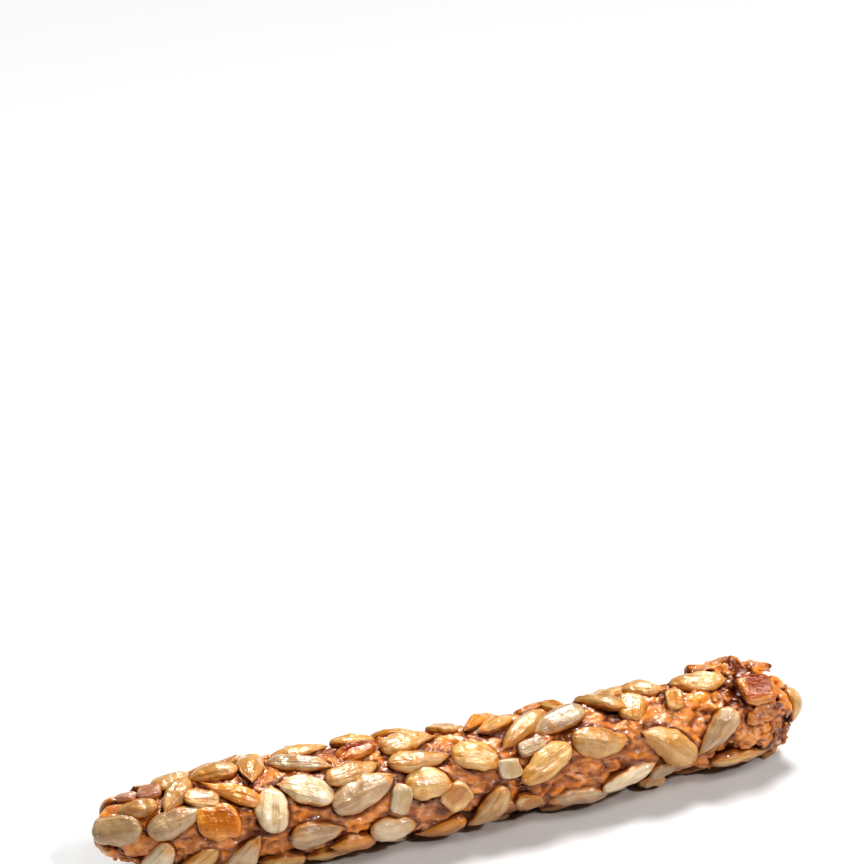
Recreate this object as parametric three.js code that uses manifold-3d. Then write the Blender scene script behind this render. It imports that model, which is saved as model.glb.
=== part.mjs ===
// A seeded breadstick: a finger of rolled dough, baked, with hulled sunflower kernels pressed all over it.
// Millimetres. It lies along X with Z up, its thick end at -X, on the spots where its underside baked flat,
// and the origin is under its middle. Dough, kernels and shards are fused into one solid.

import * as THREE from "three";
import { mergeVertices } from "three/addons/utils/BufferGeometryUtils.js";
import Module from "manifold-3d";

const wasm = await Module();
wasm.setup();

// Driving dimensions of the dough
const STICK_LENGTH = 110.5;
const THICK_END_RADIUS = 7.2; // of the dough alone, before the kernels
const THIN_END_RADIUS = 6.5;
const TAPERED_END = 25; // length over which the thick end draws in
const TAPERED_ROUNDNESS = 2; // an ellipse, where a higher power is blunter
const TORN_END = 9; // length over which the torn end rounds off
const TORN_ROUNDNESS = 2.2;
const TORN_MARGIN = 0.9; // how far a kernel and shards stand out past the dough at the torn end
const BEND = 2.5; // how far both ends lie behind the middle
const BEND_CENTRE = 0.3; // share of the bend taken off, so that the stick lies evenly about the X axis
const REST_GAP = 1; // from the dough's underside to the ground, bridged by kernels that baked flat
const LUMP = 0.2; // height of the slow swells in the rolled dough
const CRAG = 0.6; // height of the ridges in the torn dough
const CRAG_BETWEEN = 0.3; // share of that height which the ridges keep between the ends
const TIP_RIDGED = 2; // up to here the tapered end is ridged as well
const TIP_SMOOTH = 12; // and from here it isn't
const TORN_FROM = 88; // where the ridges begin to grow towards the torn end
const TORN_LIP = 2; // how far the dough is pulled up on top near the torn end
const TORN_LIP_AT = 100.5; // the middle of that pulled-up dough
const TORN_LIP_REACH = 8; // and half its length
const TORN_SLANT = 2.8; // how much lower the torn end is above, and fuller below
const TORN_SLANT_AROUND = 115; // where around the stick it is fullest

// How finely the dough is faceted, with its rings closer together towards both ends
const DOUGH_SIDES = 18;
const DOUGH_RINGS = 40;
const DOUGH_CROWDING = 0.12;
const SHORTEST_EDGE = 0.02; // fusing leaves no edge shorter than this

// The three kinds of piece on the dough: how thick each is, how far its middle plane stands above the dough,
// by how many degrees it may lie out of true, and how finely it is faceted
const KERNEL = { outline: dropOutline, thickness: 2.6, stand: 0.4, tilt: 7, sides: 6, rings: 4 };
const CHIP = { outline: chipOutline, thickness: 2, stand: 0.3, tilt: 10, sides: 5, rings: 3 };
const SHARD = { outline: chipOutline, thickness: 0.8, stand: 0.4, tilt: 8, sides: 5, rings: 3 };
const BLUNT_POWER = 0.45; // a kernel's outline at its blunt end, where a lower power is fuller
const POINT_POWER = 0.68; // and at its point
const PINCH = 0.3; // share by which a kernel narrows to its nib
const CHIP_POWER = 0.6; // a chip's or shard's outline at both ends
const WRAP = 0.6; // how closely a piece that lies across the stick follows its roundness, 0 to 1

// The kernels on the side that faces up and forward, measured one by one in millimetres and degrees:
// [along the stick from the thick end, around it from the top towards the front, heading of the point
// (0 towards the torn end, 90 up over the top), length, width]
const SHOWN_KERNELS = [
  // Along the crest
  [12, -15, 10, 6.5, 3.5],
  [17.5, -5, 170, 7.5, 3.5],
  [23, -5, -110, 8, 4],
  [30, 5, -20, 9.5, 3.5],
  [31, -25, -10, 8.5, 4],
  [39.5, -30, 0, 7.5, 4],
  [46.5, 0, 10, 9, 4],
  [58, -15, -140, 8, 2.5],
  [60, 0, -155, 7.5, 3],
  [77.5, -5, -50, 9, 4],
  [85, -15, -35, 7.5, 3.5],
  [94, 0, -20, 9.5, 4],
  // On the upper slope
  [6, 20, 170, 6.5, 3],
  [11.5, 15, -130, 7.5, 3.5],
  [18.5, 25, 155, 7.5, 2.5],
  [20, 35, 150, 6.5, 3],
  [29.5, 40, 155, 8.5, 4.5],
  [37, 30, 10, 9, 3.5],
  [47, 30, -5, 9.5, 3.5],
  [55.5, 40, -20, 8, 4.5],
  [63.5, 15, -150, 9.5, 3],
  [69, 15, -170, 10, 4],
  // Facing forward
  [11, 50, 15, 9, 4],
  [24.5, 55, 80, 7, 5],
  [38, 55, 15, 10.5, 5],
  [47.5, 60, -5, 7.5, 5],
  [65.5, 65, -155, 10, 4.5],
  [75, 50, -15, 9.5, 4.5],
  [86, 75, 140, 11, 5],
  [94, 74, -135, 9, 4],
  [108.5, 68, -100, 5.5, 4.5],
  // Under the front
  [7.5, 115, -120, 8, 4],
  [13, 120, -135, 8.5, 4.5],
  [19.5, 110, 60, 9, 4.5],
  [25.5, 135, -170, 7, 4],
  [30.5, 95, -5, 8.5, 4.5],
  [32.5, 145, 180, 8, 4],
  [36, 120, 175, 7.5, 3.5],
  [42, 105, -5, 7.5, 4.5],
  [49.5, 130, -160, 8, 4],
  [56.5, 110, -120, 9.5, 4.5],
  [71, 125, 180, 10, 4],
  [79.5, 105, 10, 10, 3.5],
  [99, 125, 0, 10.5, 3.5],
];

// Broken kernels of the same side, measured alike
const SHOWN_CHIPS = [
  [3, 48, -10, 7, 4.5],
  [5.5, -20, -40, 3, 2],
  [8.5, -5, -20, 3.5, 2.5],
  [15, 30, -20, 5, 3],
  [16.5, 60, -5, 6, 5],
  [21, -35, 175, 4, 3],
  [38.5, 0, 10, 6.5, 3],
  [43, 70, -105, 4.5, 3],
  [51.5, 80, 30, 4.5, 4],
  [52.5, -20, -40, 5, 3],
  [60, 60, -80, 3, 3.5],
  [63, 110, -30, 5.5, 2.5],
  [64, 40, -170, 4.5, 2.5],
  [67, -35, 0, 4.5, 3],
  [70.5, -15, -60, 5, 2.5],
  [81, -30, 10, 4, 3],
  [81.5, 15, -115, 4.5, 4],
  [85, 110, 5, 4.5, 2.5],
  [88.5, 20, -100, 3.5, 3],
  [96, -35, 0, 4.5, 2.5],
  [101.5, 35, -5, 5.5, 5],
];

// Shards of torn dough of the same side, measured alike
const SHOWN_SHARDS = [
  [3.5, 0, 30, 5, 2.5],
  [6, 80, 20, 6.5, 3],
  [98.5, -25, 5, 9, 3.5],
  [101.5, 100, 10, 7.5, 2.5],
  [104, -8, -20, 6, 3],
  [102.5, 62, 10, 7, 2.5],
  [106.3, 55, -70, 6, 1.6],
];

// The side that was measured, from and to, around the stick. The rest is covered by rule, the largest first.
const SHOWN_FROM = -55;
const SHOWN_TO = 148;
const RULES = [
  { kind: KERNEL, most: 33, along: [5, 100], length: [8, 10.5], width: [4, 5], overlap: 0.45 },
  { kind: KERNEL, most: 10, along: [5, 103], length: [5.5, 7.5], width: [3, 4], overlap: 0.3 },
  { kind: CHIP, most: 12, along: [6, 106], length: [3, 5], width: [2.5, 4], overlap: 0.15 },
];
const TRIES = 600;
const HEADING_SPREAD = 75; // degrees by which kernels placed by rule may turn from lying along the stick
const SHARD_RULES = [
  { most: 6, along: [97, 107] },
  { most: 2, along: [4, 8] },
];
const SHARD_LENGTH = [4, 7];
const SHARD_WIDTH = [2, 3];
const SHARD_HEADING = 20; // degrees by which a shard by rule may turn from lying along the stick
const SEED_MIDDLE = 1; // how far above the dough overlaps are judged

const radians = THREE.MathUtils.degToRad;
const lerp = THREE.MathUtils.lerp;

// One repeatable run of draws between 0 and 1
let state = 2654435769;
function draw() {
  state = (Math.imul(state, 1664525) + 1013904223) >>> 0;
  return state / 4294967296;
}

const between = ([low, high]) => low + (high - low) * draw();

// A bump that is 1 at its middle and 0 past its reach
function bump(place, middle, reach) {
  return THREE.MathUtils.smoothstep(1 - Math.abs(place - middle) / reach, 0, 1);
}

// The height of a rounded end at a share of its length: 0 at the tip, 1 where the full radius is reached
function roundOff(share, power) {
  const s = THREE.MathUtils.clamp(share, 0, 1);
  return (1 - (1 - s) ** power) ** (1 / power);
}

const fullRadius = (along) => lerp(THICK_END_RADIUS, THIN_END_RADIUS, along / STICK_LENGTH);

// Radius of the smooth dough: an oval taper at the thick end, a blunt round at the torn end
function doughRadius(along) {
  const tapered = roundOff(along / TAPERED_END, TAPERED_ROUNDNESS);
  const torn = roundOff((STICK_LENGTH - TORN_MARGIN - along) / TORN_END, TORN_ROUNDNESS);
  return fullRadius(along) * tapered * torn;
}

// The stick's middle line: a shallow arc, level along the underside of the dough
function middle(along) {
  const share = (2 * along) / STICK_LENGTH - 1;
  const across = BEND * (share * share - BEND_CENTRE);
  return new THREE.Vector3(along - STICK_LENGTH / 2, across, fullRadius(along) + REST_GAP);
}

// A point of the stick, by place along, place around in radians, and distance from the middle line
function onStick(along, around, radius) {
  const out = new THREE.Vector3(0, -Math.sin(around), Math.cos(around));
  return middle(along).addScaledVector(out, radius);
}

// How far the torn end was pulled out of round: up to a lip on top, and slanting down towards its face
function pull(along, around) {
  const lip = TORN_LIP * bump(along, TORN_LIP_AT, TORN_LIP_REACH) * Math.max(0, Math.cos(around));
  const hang = THREE.MathUtils.smoothstep(along, TORN_LIP_AT, STICK_LENGTH);
  return lip + TORN_SLANT * hang * Math.cos(around - radians(TORN_SLANT_AROUND));
}

// Radius of the dough that pieces lie on, by place along and around
function seatRadius(along, around) {
  return doughRadius(along) * (1 + pull(along, around) / THICK_END_RADIUS);
}

// What stands above that: slow swells, and ridges that grow towards both ends. Each sine has its own waves
// along the stick, in radians for each millimetre, and around it, in whole waves to a turn.
function relief(along, around) {
  const swell =
    Math.sin(0.21 * along + 2 * around + 1.1) +
    0.7 * Math.sin(0.43 * along - 3 * around + 0.4) +
    0.5 * Math.sin(0.83 * along + around + 2.3);
  const ridge =
    Math.sin(5 * around + 0.5 * along) * Math.sin(0.8 * along + 2 * around) +
    0.5 * Math.sin(7 * around - 0.3 * along + 1);
  const torn = THREE.MathUtils.smoothstep(along, TORN_FROM, TORN_LIP_AT);
  const tip = 1 - THREE.MathUtils.smoothstep(along, TIP_RIDGED, TIP_SMOOTH);
  return LUMP * swell + CRAG * (CRAG_BETWEEN + torn + tip) * ridge;
}

// A closed skin: a sphere's grid, each point moved to where place(share, turn) puts it, pole to pole
function skin(sides, rings, place) {
  const grid = new THREE.SphereGeometry(1, sides, rings);
  const points = grid.getAttribute("position");
  for (let i = 0; i < points.count; i++) {
    const share = Math.acos(THREE.MathUtils.clamp(points.getY(i), -1, 1)) / Math.PI;
    const turn = Math.atan2(-points.getZ(i), -points.getX(i));
    points.setXYZ(i, ...place(share, turn));
  }
  return grid;
}

function solid(geometry) {
  geometry.deleteAttribute("normal");
  geometry.deleteAttribute("uv");
  const merged = mergeVertices(geometry, 1e-4);
  const vertProperties = new Float32Array(merged.getAttribute("position").array);
  const triVerts = new Uint32Array(merged.index.array);
  return new wasm.Manifold(new wasm.Mesh({ numProp: 3, vertProperties, triVerts, tolerance: SHORTEST_EDGE }));
}

function dough() {
  const reach = STICK_LENGTH - TORN_MARGIN;
  return skin(DOUGH_SIDES, DOUGH_RINGS, (share, turn) => {
    const along = reach * (share - DOUGH_CROWDING * Math.sin(2 * Math.PI * share));
    const standing = pull(along, turn) + relief(along, turn);
    return onStick(along, turn, doughRadius(along) * (1 + standing / THICK_END_RADIUS));
  });
}

// Half width of a whole kernel at a share of its length, 1 at its widest
function dropOutline(t) {
  const widest = BLUNT_POWER / (BLUNT_POWER + POINT_POWER);
  const outline = (s) => s ** BLUNT_POWER * (1 - s) ** POINT_POWER;
  const nib = 1 - PINCH * THREE.MathUtils.smoothstep(t, 0.7, 0.9);
  return (nib * outline(t)) / outline(widest);
}

// And of a broken one, or a shard of dough
function chipOutline(t) {
  return Math.sin(Math.PI * t) ** CHIP_POWER;
}

// A place on the dough, and the directions onward, upward over the top and outward there, which leave out
// the pulled end, so that pieces on it lie as true as the others
function surfaceAt(along, around) {
  const step = 0.5;
  const turn = 0.05;
  const a = THREE.MathUtils.clamp(along, step, STICK_LENGTH - TORN_MARGIN - step);
  const point = (da, dt) => onStick(a + da, around + dt, doughRadius(a + da));
  const onward = point(step, 0).sub(point(-step, 0)).normalize();
  const upward = point(0, -turn).sub(point(0, turn)).normalize();
  const at = onStick(a, around, seatRadius(a, around));
  return { at, onward, upward, outward: new THREE.Vector3().crossVectors(onward, upward) };
}

// A piece laid on the dough, turned to its heading, a little out of true, and bent over the stick's roundness
function laid({ kind, row, pitch, roll }) {
  const [along, around, heading, length, width] = row;
  const surface = surfaceAt(along, radians(around));
  const cos = Math.cos(radians(heading));
  const sin = Math.sin(radians(heading));
  const sag = WRAP / (2 * (doughRadius(along) + kind.stand));
  return skin(kind.sides, kind.rings, (share, turn) => {
    const t = (1 - Math.cos(Math.PI * share)) / 2;
    const u = length * (t - 0.5);
    const v = (width / 2) * kind.outline(t) * Math.cos(turn);
    const h = (kind.thickness / 2) * kind.outline(t) * Math.sin(turn);
    const onward = u * cos - v * sin;
    const upward = u * sin + v * cos;
    const outward = h + kind.stand + u * pitch + v * roll - sag * upward * upward;
    return surface.at
      .clone()
      .addScaledVector(surface.onward, onward)
      .addScaledVector(surface.upward, upward)
      .addScaledVector(surface.outward, outward);
  });
}

// A piece of a kind at a row's place, with a small tilt of its own
function piece(kind, row) {
  const lean = () => Math.tan(radians(kind.tilt * (2 * draw() - 1)));
  return { kind, row, pitch: lean(), roll: lean() };
}

// Three discs that stand for a piece on the unrolled stick, blunt end to point: [share of length, radius]
const FOOTPRINT = [
  [-0.27, 0.46],
  [0.02, 0.48],
  [0.3, 0.3],
];

function footprint([along, around, heading, length, width]) {
  const roller = doughRadius(along) + SEED_MIDDLE;
  return FOOTPRINT.map(([share, radius]) => ({
    along: along + share * length * Math.cos(radians(heading)),
    upward: share * length * Math.sin(radians(heading)) - radians(around) * roller,
    girth: 2 * Math.PI * roller,
    radius: radius * width,
  }));
}

// The least gap between two footprints, going round the stick the shorter way
function gapBetween(one, other) {
  let least = Infinity;
  for (const a of one) {
    for (const b of other) {
      const rise = Math.abs(a.upward - b.upward) % a.girth;
      const apart = Math.hypot(a.along - b.along, Math.min(rise, a.girth - rise));
      least = Math.min(least, apart - a.radius - b.radius);
    }
  }
  return least;
}

// Kernels and chips by rule, each clear of those already there but for a little overlap
function scatter(shown) {
  const taken = shown.map(footprint);
  const pieces = [];
  for (const rule of RULES) {
    let found = 0;
    for (let i = 0; i < TRIES && found < rule.most; i++) {
      const along = between(rule.along);
      const around = between([SHOWN_TO, 360 + SHOWN_FROM]);
      const heading = (draw() < 0.5 ? 0 : 180) + HEADING_SPREAD * (draw() + draw() - 1);
      const row = [along, around, heading, between(rule.length), between(rule.width)];
      const print = footprint(row);
      if (taken.every((other) => gapBetween(print, other) > -rule.overlap)) {
        taken.push(print);
        pieces.push(piece(rule.kind, row));
        found += 1;
      }
    }
  }
  return pieces;
}

// Shards by rule, on the side that wasn't measured
function moreShards({ most, along }) {
  return Array.from({ length: most }, () => {
    const around = between([SHOWN_TO, 360 + SHOWN_FROM]);
    const row = [between(along), around, SHARD_HEADING * (2 * draw() - 1)];
    return piece(SHARD, [...row, between(SHARD_LENGTH), between(SHARD_WIDTH)]);
  });
}

// Everything fused, and the underside cut level with the ground
function breadstick() {
  const pieces = [
    ...SHOWN_KERNELS.map((row) => piece(KERNEL, row)),
    ...SHOWN_CHIPS.map((row) => piece(CHIP, row)),
    ...SHOWN_SHARDS.map((row) => piece(SHARD, row)),
    ...scatter([...SHOWN_KERNELS, ...SHOWN_CHIPS]),
    ...SHARD_RULES.flatMap(moreShards),
  ];
  const fused = pieces.reduce((whole, each) => whole.add(solid(laid(each))), solid(dough()));
  const block = new THREE.BoxGeometry(2 * STICK_LENGTH, STICK_LENGTH, STICK_LENGTH);
  const level = fused.subtract(solid(block.translate(0, 0, -STICK_LENGTH / 2)));
  // The stick is the largest part: a hollow that fusing sealed, or a scrap cut loose, is left out
  return level.decompose().reduce((most, each) => (each.volume() > most.volume() ? each : most));
}

function meshOf(name, made) {
  const { vertProperties, triVerts, numProp } = made.getMesh();
  const geometry = new THREE.BufferGeometry();
  geometry.setAttribute("position", new THREE.BufferAttribute(new Float32Array(vertProperties), numProp));
  geometry.setIndex(new THREE.BufferAttribute(new Uint32Array(triVerts), 1));
  geometry.computeVertexNormals();
  const baked = new THREE.MeshStandardMaterial({ color: "#c48a52", roughness: 0.45, metalness: 0 });
  const mesh = new THREE.Mesh(geometry, baked);
  mesh.name = name;
  return mesh;
}

const stick = new THREE.Group();
stick.add(meshOf("breadstick", breadstick()));

export default stick;
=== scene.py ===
# %% [markdown]
# A seeded breadstick, made by hand of rolled dough: pressed into hulled sunflower kernels, glazed with
# syrup and baked until the dough is caramel brown. This lesson builds it in the order in which a baker
# would: the dough, the kernels and broken bits in it, the shards and crumbs on it, and then the studio.
# The solid model comes first, because every new piece has to lie where the solid says.

# %% The solid model
import math

import bpy
import numpy as np
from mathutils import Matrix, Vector


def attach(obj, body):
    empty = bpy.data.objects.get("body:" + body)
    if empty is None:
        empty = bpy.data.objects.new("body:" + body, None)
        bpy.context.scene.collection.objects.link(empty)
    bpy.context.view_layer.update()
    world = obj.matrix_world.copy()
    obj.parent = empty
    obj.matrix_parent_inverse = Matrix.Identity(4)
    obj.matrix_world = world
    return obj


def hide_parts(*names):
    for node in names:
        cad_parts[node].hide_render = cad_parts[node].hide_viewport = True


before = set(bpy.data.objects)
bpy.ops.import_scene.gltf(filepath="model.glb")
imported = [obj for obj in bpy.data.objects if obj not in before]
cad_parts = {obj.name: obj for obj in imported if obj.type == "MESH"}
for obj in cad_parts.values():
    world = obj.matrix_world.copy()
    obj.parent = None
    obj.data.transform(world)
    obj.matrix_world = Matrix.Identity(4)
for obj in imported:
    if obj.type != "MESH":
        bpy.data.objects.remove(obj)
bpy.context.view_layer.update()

NODE = "breadstick"
MM = 0.001

# %% [markdown]
# The driving dimensions are those of the solid, in millimetres. The dough is a tapered roll with an
# oval end and a torn end, and everything else is placed by three numbers: how far along the stick, how
# far around it from the top towards the front, and how far out from its middle line.

# %% Driving dimensions
STICK_LENGTH = 110.5
THICK_END_RADIUS = 7.2
THIN_END_RADIUS = 6.5
TAPERED_END = 25
TAPERED_ROUNDNESS = 2
TORN_END = 9
TORN_ROUNDNESS = 2.2
TORN_MARGIN = 0.9
BEND = 2.5
BEND_CENTRE = 0.3
REST_GAP = 1
LUMP = 0.2
CRAG = 0.6
CRAG_BETWEEN = 0.3
TIP_RIDGED = 2
TIP_SMOOTH = 12
TORN_FROM = 88
TORN_LIP = 2
TORN_LIP_AT = 100.5
TORN_LIP_REACH = 8
TORN_SLANT = 2.8
TORN_SLANT_AROUND = 115
BLUNT_POWER = 0.45 # of a kernel's outline at its broad end
POINT_POWER = 0.68 # and at its point
WRAP = 0.6 # how much of the dough's roundness a piece takes on

KERNEL = {"name": "kernel", "thickness": 2.6, "stand": 0.4, "tilt": 7}
CHIP = {"name": "chip", "thickness": 2, "stand": 0.3, "tilt": 10}
SHARD = {"name": "shard", "thickness": 0.8, "stand": 0.4, "tilt": 8}

# %% [markdown]
# The stick's own shape is a handful of formulas. Each takes whole arrays, so that the same line serves
# one kernel or every point of the dough.

# %% The shape of the roll
def smooth_step(value, low, high):
    """3s^2 - 2s^3 of the share s of the way from low to high, held between 0 and 1."""
    share = np.clip((value - low) / (high - low), 0, 1)
    return share * share * (3 - 2 * share)


def round_off(share, power):
    """Height of a rounded end: (1 - (1 - s)^p)^(1/p), 0 at the tip and 1 at full radius."""
    s = np.clip(share, 0, 1)
    return (1 - (1 - s) ** power) ** (1 / power)


def full_radius(along):
    """A straight line from the thick end's radius to the thin end's."""
    return THICK_END_RADIUS + (THIN_END_RADIUS - THICK_END_RADIUS) * along / STICK_LENGTH


def dough_radius(along):
    """The full radius times the two rounded ends."""
    tapered = round_off(along / TAPERED_END, TAPERED_ROUNDNESS)
    torn = round_off((STICK_LENGTH - TORN_MARGIN - along) / TORN_END, TORN_ROUNDNESS)
    return full_radius(along) * tapered * torn


def on_stick(along, around, radius):
    """The middle line, an arc on the ground, plus the radius times (0, -sin, cos) of the place around."""
    along, around, radius = np.broadcast_arrays(along, around, radius)
    share = 2 * along / STICK_LENGTH - 1
    x = along - STICK_LENGTH / 2
    y = BEND * (share * share - BEND_CENTRE) - radius * np.sin(around)
    z = full_radius(along) + REST_GAP + radius * np.cos(around)
    return np.stack([x, y, z], axis=-1)


def pull(along, around):
    """How far the torn end was pulled out of round: a lip on top, and a slant down towards its face."""
    near_lip = smooth_step(1 - np.abs(along - TORN_LIP_AT) / TORN_LIP_REACH, 0, 1)
    lip = TORN_LIP * near_lip * np.maximum(0, np.cos(around))
    hang = smooth_step(along, TORN_LIP_AT, STICK_LENGTH)
    return lip + TORN_SLANT * hang * np.cos(around - math.radians(TORN_SLANT_AROUND))


def seat_radius(along, around):
    """The radius of the dough that pieces lie on."""
    return dough_radius(along) * (1 + pull(along, around) / THICK_END_RADIUS)


def relief(along, around):
    """What stands above that: slow swells (sums of sines), and ridges that grow to both ends."""
    swell = (
        np.sin(0.21 * along + 2 * around + 1.1)
        + 0.7 * np.sin(0.43 * along - 3 * around + 0.4)
        + 0.5 * np.sin(0.83 * along + around + 2.3)
    )
    ridge = np.sin(5 * around + 0.5 * along) * np.sin(0.8 * along + 2 * around)
    ridge = ridge + 0.5 * np.sin(7 * around - 0.3 * along + 1)
    torn = smooth_step(along, TORN_FROM, TORN_LIP_AT)
    tip = 1 - smooth_step(along, TIP_RIDGED, TIP_SMOOTH)
    return LUMP * swell + CRAG * (CRAG_BETWEEN + torn + tip) * ridge


def surface_at(along, around):
    """A place on the dough, and onward, upward over the top and outward there.

    The directions leave out the pulled end, so that pieces on it lie as true as the others.
    """
    step = 0.5
    turn = 0.05
    a = np.clip(along, step, STICK_LENGTH - TORN_MARGIN - step)

    def point(da, dt):
        return on_stick(a + da, around + dt, dough_radius(a + da))

    ahead = point(step, 0) - point(-step, 0)
    over = point(0, -turn) - point(0, turn)
    onward = ahead / np.linalg.norm(ahead, axis=-1, keepdims=True)
    upward = over / np.linalg.norm(over, axis=-1, keepdims=True)
    return on_stick(a, around, seat_radius(a, around)), onward, upward, np.cross(onward, upward)


print("dough radius in the middle, mm:", round(float(dough_radius(STICK_LENGTH / 2)), 2))

# %% [markdown]
# The kernels on the side that faces us were measured one by one on the real stick. Each row holds the
# place along the stick, the place around it in degrees, the heading of its point (0 towards the torn
# end, 90 up over the top), length, width and tone. The rows repeat those of the solid, with the tone
# added: raw kernels are grey or cream, toasted ones run from tan through gold to amber, and a few
# bits are so dark that they look red.

# %% What was measured
SHOWN_KERNELS = [
    (12, -15, 10, 6.5, 3.5, "tan"),
    (17.5, -5, 170, 7.5, 3.5, "tan"),
    (23, -5, -110, 8, 4, "tan"),
    (30, 5, -20, 9.5, 3.5, "grey"),
    (31, -25, -10, 8.5, 4, "tan"),
    (39.5, -30, 0, 7.5, 4, "gold"),
    (46.5, 0, 10, 9, 4, "tan"),
    (58, -15, -140, 8, 2.5, "amber"),
    (60, 0, -155, 7.5, 3, "gold"),
    (77.5, -5, -50, 9, 4, "tan"),
    (85, -15, -35, 7.5, 3.5, "tan"),
    (94, 0, -20, 9.5, 4, "tan"),
    (6, 20, 170, 6.5, 3, "tan"),
    (11.5, 15, -130, 7.5, 3.5, "tan"),
    (18.5, 25, 155, 7.5, 2.5, "amber"),
    (20, 35, 150, 6.5, 3, "amber"),
    (29.5, 40, 155, 8.5, 4.5, "cream"),
    (37, 30, 10, 9, 3.5, "tan"),
    (47, 30, -5, 9.5, 3.5, "tan"),
    (55.5, 40, -20, 8, 4.5, "gold"),
    (63.5, 15, -150, 9.5, 3, "gold"),
    (69, 15, -170, 10, 4, "grey"),
    (11, 50, 15, 9, 4, "grey"),
    (24.5, 55, 80, 7, 5, "cream"),
    (38, 55, 15, 10.5, 5, "grey"),
    (47.5, 60, -5, 7.5, 5, "tan"),
    (65.5, 65, -155, 10, 4.5, "gold"),
    (75, 50, -15, 9.5, 4.5, "tan"),
    (86, 75, 140, 11, 5, "gold"),
    (94, 74, -135, 9, 4, "grey"),
    (108.5, 68, -100, 5.5, 4.5, "tan"),
    (7.5, 115, -120, 8, 4, "cream"),
    (13, 120, -135, 8.5, 4.5, "gold"),
    (19.5, 110, 60, 9, 4.5, "grey"),
    (25.5, 135, -170, 7, 4, "gold"),
    (30.5, 95, -5, 8.5, 4.5, "grey"),
    (32.5, 145, 180, 8, 4, "gold"),
    (36, 120, 175, 7.5, 3.5, "amber"),
    (42, 105, -5, 7.5, 4.5, "cream"),
    (49.5, 130, -160, 8, 4, "amber"),
    (56.5, 110, -120, 9.5, 4.5, "tan"),
    (71, 125, 180, 10, 4, "grey"),
    (79.5, 105, 10, 10, 3.5, "cream"),
    (99, 125, 0, 10.5, 3.5, "tan"),
]
SHOWN_CHIPS = [
    (3, 48, -10, 7, 4.5, "grey"),
    (5.5, -20, -40, 3, 2, "brown"),
    (8.5, -5, -20, 3.5, 2.5, "brown"),
    (15, 30, -20, 5, 3, "tan"),
    (16.5, 60, -5, 6, 5, "amber"),
    (21, -35, 175, 4, 3, "tan"),
    (38.5, 0, 10, 6.5, 3, "red"),
    (43, 70, -105, 4.5, 3, "cream"),
    (51.5, 80, 30, 4.5, 4, "tan"),
    (52.5, -20, -40, 5, 3, "gold"),
    (60, 60, -80, 3, 3.5, "cream"),
    (63, 110, -30, 5.5, 2.5, "tan"),
    (64, 40, -170, 4.5, 2.5, "grey"),
    (67, -35, 0, 4.5, 3, "red"),
    (70.5, -15, -60, 5, 2.5, "gold"),
    (81, -30, 10, 4, 3, "gold"),
    (81.5, 15, -115, 4.5, 4, "gold"),
    (85, 110, 5, 4.5, 2.5, "grey"),
    (88.5, 20, -100, 3.5, 3, "gold"),
    (96, -35, 0, 4.5, 2.5, "red"),
    (101.5, 35, -5, 5.5, 5, "red"),
]
SHOWN_SHARDS = [
    (3.5, 0, 30, 5, 2.5, "dough"),
    (6, 80, 20, 6.5, 3, "dough"),
    (98.5, -25, 5, 9, 3.5, "dough"),
    (101.5, 100, 10, 7.5, 2.5, "dough"),
    (104, -8, -20, 6, 3, "dough"),
    (102.5, 62, 10, 7, 2.5, "dough"),
    (106.3, 55, -70, 6, 1.6, "dough"),
]
print("measured:", len(SHOWN_KERNELS), "kernels,", len(SHOWN_CHIPS), "chips,", len(SHOWN_SHARDS), "shards")

# %% [markdown]
# The far side, the underside and the ends are covered by a rule, as in the solid: throw a dart, keep
# the kernel if it hardly overlaps the others, the largest first. The draws come from the same simple
# number run as the solid's, in the same order, so that each kernel lands on its own solid.

# %% What is placed by rule
SHOWN_FROM = -55
SHOWN_TO = 148
RULES = [
    {"kind": KERNEL, "most": 33, "along": (5, 100), "length": (8, 10.5), "width": (4, 5), "overlap": 0.45},
    {"kind": KERNEL, "most": 10, "along": (5, 103), "length": (5.5, 7.5), "width": (3, 4), "overlap": 0.3},
    {"kind": CHIP, "most": 12, "along": (6, 106), "length": (3, 5), "width": (2.5, 4), "overlap": 0.15},
]
TRIES = 600
HEADING_SPREAD = 75
SHARD_RULES = [{"most": 6, "along": (97, 107)}, {"most": 2, "along": (4, 8)}]
SHARD_LENGTH = (4, 7)
SHARD_WIDTH = (2, 3)
SHARD_HEADING = 20
SEED_MIDDLE = 1
TONES_BY_RULE = ("tan", "grey", "gold", "tan", "cream", "grey", "amber", "tan", "gold")
FOOTPRINT = ((-0.27, 0.46), (0.02, 0.48), (0.3, 0.3))

run = {"state": 2654435769}


def draw():
    """The next number between 0 and 1: the state times 1664525 plus 1013904223, kept to 32 bits."""
    run["state"] = (run["state"] * 1664525 + 1013904223) % 2**32
    return run["state"] / 2**32


def between(low_high):
    """A draw between two ends."""
    return low_high[0] + (low_high[1] - low_high[0]) * draw()


def piece(kind, row):
    """A row with its kind, and a small tilt of its own along and across."""
    pitch = math.tan(math.radians(kind["tilt"] * (2 * draw() - 1)))
    roll = math.tan(math.radians(kind["tilt"] * (2 * draw() - 1)))
    return {"kind": kind["name"], "row": row, "pitch": pitch, "roll": roll}


def footprint(row):
    """Three discs on the unrolled stick, as an array of along, upward, girth and radius."""
    along, around, heading, length, width = row[:5]
    roller = float(dough_radius(along)) + SEED_MIDDLE
    turned = math.radians(heading)
    discs = []
    for share, radius in FOOTPRINT:
        ahead = along + share * length * math.cos(turned)
        upward = share * length * math.sin(turned) - math.radians(around) * roller
        discs.append((ahead, upward, 2 * math.pi * roller, radius * width))
    return np.array(discs)


def gap_between(one, other):
    """The least distance between two footprints' discs, going round the stick the shorter way."""
    a, b = one[:, None, :], other[None, :, :]
    rise = np.abs(a[..., 1] - b[..., 1]) % a[..., 2]
    apart = np.hypot(a[..., 0] - b[..., 0], np.minimum(rise, a[..., 2] - rise))
    return float((apart - a[..., 3] - b[..., 3]).min())


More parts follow.
